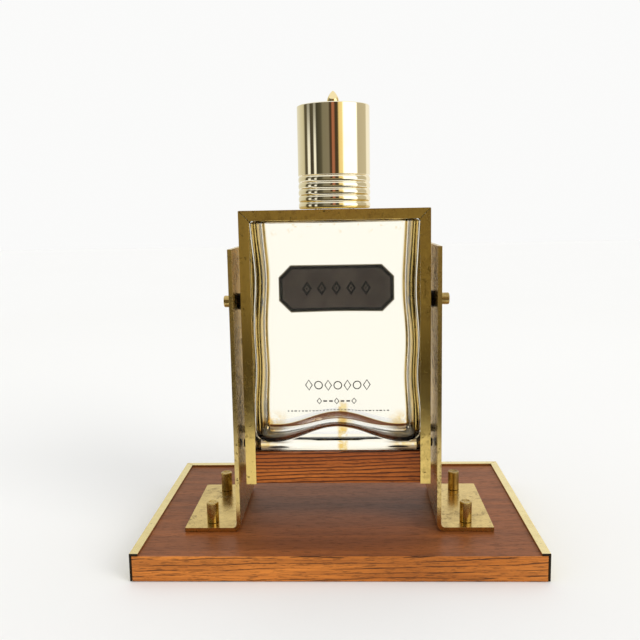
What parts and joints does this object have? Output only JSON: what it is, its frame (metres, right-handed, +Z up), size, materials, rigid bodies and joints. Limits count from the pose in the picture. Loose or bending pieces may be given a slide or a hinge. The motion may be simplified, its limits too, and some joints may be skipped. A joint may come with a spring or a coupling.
{
  "type": "aftershave bottle in a swing stand",
  "caption": "Large glass cologne bottle with a ribbed gold cap, held in a brass cradle that swings between brass uprights on a brass-edged wooden base.",
  "frame": {"origin": "middle of the base's underside", "axes": "+X along the pivot axis, +Y towards the side that the bottle's label faces, +Z up; left is -X and rear is -Y"},
  "size_m": [0.3048, 0.2032, 0.3587],
  "materials": {
    "oak": "red-brown stained oak under satin lacquer",
    "brass": "polished, lightly tarnished",
    "worn_brass": "polished, mottled with tarnish",
    "gold_plate": "mirror-polished pale gold",
    "steel": "turned",
    "black_rubber": "matt",
    "felt": "matt",
    "clear_glass": "clear pressed glass",
    "enamel": "dark brown enamel with a border",
    "white_plastic": "moulded",
    "foam": "soft foam disc"
  },
  "bodies": {
    "stand": {"base_board": "oak", "edge_trim_left": "brass", "edge_trim_right": "brass", "edge_trim_front": "brass", "bracket_left": "worn_brass", "bracket_right": "worn_brass", "foot_nut_left_rear": "brass", "foot_nut_left_front": "brass", "foot_nut_right_rear": "brass", "foot_nut_right_front": "brass", "foot_screw_left_rear": "steel", "foot_screw_left_front": "steel", "foot_screw_right_rear": "steel", "foot_screw_right_front": "steel"},
    "cradle": {"cradle_channel_left": "brass", "cradle_channel_right": "brass", "cradle_channel_top": "brass", "cradle_block": "oak", "block_screw_left_rear": "brass", "block_screw_left_front": "brass", "block_screw_right_rear": "brass", "block_screw_right_front": "brass", "rest_pad_left": "felt", "rest_pad_right": "felt", "side_bumper_left_rear": "black_rubber", "side_bumper_left_front": "black_rubber", "side_bumper_right_rear": "black_rubber", "side_bumper_right_front": "black_rubber", "pivot_pin_left": "steel", "pivot_pin_right": "steel", "pivot_spacer_left": "black_rubber", "pivot_spacer_right": "black_rubber", "pivot_nut_left": "brass", "pivot_nut_right": "brass", "glass_bottle": "clear_glass", "label_plaque": "enamel"},
    "cap_seal": {"cap_liner": "foam"},
    "cap": {"cap_shell": "gold_plate", "cap_sleeve": "white_plastic", "cap_finial": "brass"}
  },
  "joints": [
    {"name": "cradle_swing", "type": "hinge", "parent": "stand", "child": "cradle", "pos_m": [0, -0.0114, 0.19505], "axis": [1, 0, 0], "range_deg": [-135, 135]},
    {"name": "cap_lift", "type": "slide", "parent": "cradle", "child": "cap_seal", "axis": [0, 0, 1], "range_m": [0, 0.06]},
    {"name": "cap_twist", "type": "hinge", "parent": "cap_seal", "child": "cap", "pos_m": [0, -0.0114, 0.2803], "axis": [0, 0, 1], "continuous": true}
  ]
}
